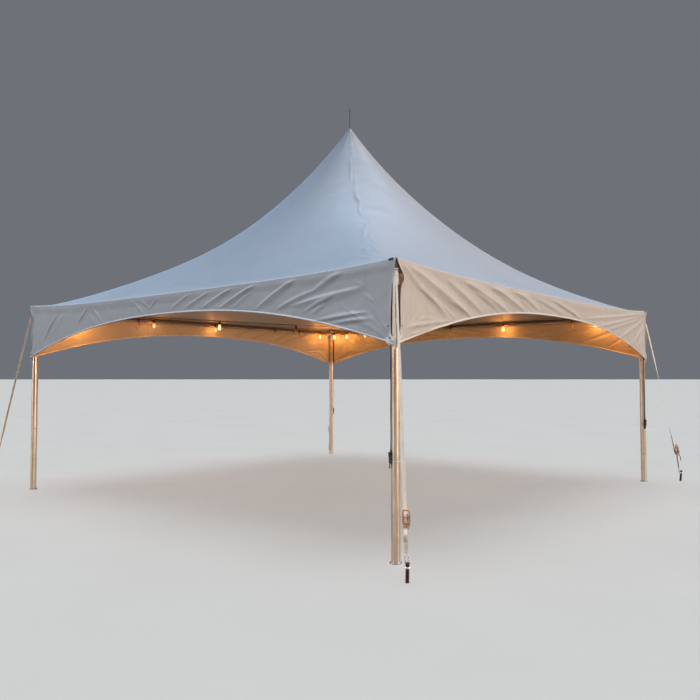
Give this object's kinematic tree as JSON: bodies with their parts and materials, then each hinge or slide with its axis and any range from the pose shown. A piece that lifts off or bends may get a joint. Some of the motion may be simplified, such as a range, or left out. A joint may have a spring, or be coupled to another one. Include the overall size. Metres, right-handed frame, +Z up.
{
  "type": "marquee tent",
  "caption": "Square frame tent: high peaked vinyl top on a cable-held mast, arched valances, aluminium legs and beams, ratchet guys and string lights.",
  "frame": {"origin": "ground level, at the middle of the plan under the mast", "axes": "+Z up, +X to the right side, -Y to the front side; the leg nearest the camera in the picture is the front right one"},
  "size_m": [6.8434, 6.8434, 5.3],
  "materials": {
    "vinyl": "white vinyl-coated polyester, satin, softly creased",
    "aluminium": "bright drawn tube with fine lengthwise lines",
    "fitting_metal": "cast aluminium, matt",
    "cable_steel": "galvanised wire rope and forks",
    "webbing": "woven polyester webbing, off-white",
    "dark_webbing": "woven webbing and buckle, dark",
    "ratchet_metal": "yellow zinc plate, worn and rusted",
    "stake_metal": "dark rusted steel",
    "light_cord": "black cord and sockets",
    "lamp_glass": "clear glass with a warm glow"
  },
  "bodies": {
    "root": {"canopy_roof": "vinyl", "valance_back": "vinyl", "valance_left": "vinyl", "valance_front": "vinyl", "valance_right": "vinyl", "leg_back_right": "aluminium", "leg_back_left": "aluminium", "leg_front_left": "aluminium", "leg_front_right": "aluminium", "corner_fitting_back_right": "fitting_metal", "corner_fitting_back_left": "fitting_metal", "corner_fitting_front_left": "fitting_metal", "corner_fitting_front_right": "fitting_metal", "eave_beam_back_right": "aluminium", "eave_beam_back_left": "aluminium", "eave_beam_left_back": "aluminium", "eave_beam_left_front": "aluminium", "eave_beam_front_left": "aluminium", "eave_beam_front_right": "aluminium", "eave_beam_right_front": "aluminium", "eave_beam_right_back": "aluminium", "mast_tube": "aluminium", "mast_base": "fitting_metal", "mast_cap": "fitting_metal", "cross_cable_back_right": "cable_steel", "cross_cable_back_left": "cable_steel", "cross_cable_front_left": "cable_steel", "cross_cable_front_right": "cable_steel", "leg_strap_back_right": "dark_webbing", "leg_strap_back_left": "dark_webbing", "leg_strap_front_left": "dark_webbing", "leg_strap_front_right": "dark_webbing", "guy_strap_back_right": "webbing", "guy_strap_back_left": "webbing", "guy_strap_front_left": "webbing", "guy_strap_front_right": "webbing", "guy_ratchet_back_right": "ratchet_metal", "guy_ratchet_back_left": "ratchet_metal", "guy_ratchet_front_left": "ratchet_metal", "guy_ratchet_front_right": "ratchet_metal", "stake_back_right": "stake_metal", "stake_back_left": "stake_metal", "stake_front_left": "stake_metal", "stake_front_right": "stake_metal", "string_lights": "light_cord"}
  },
  "joints": []
}
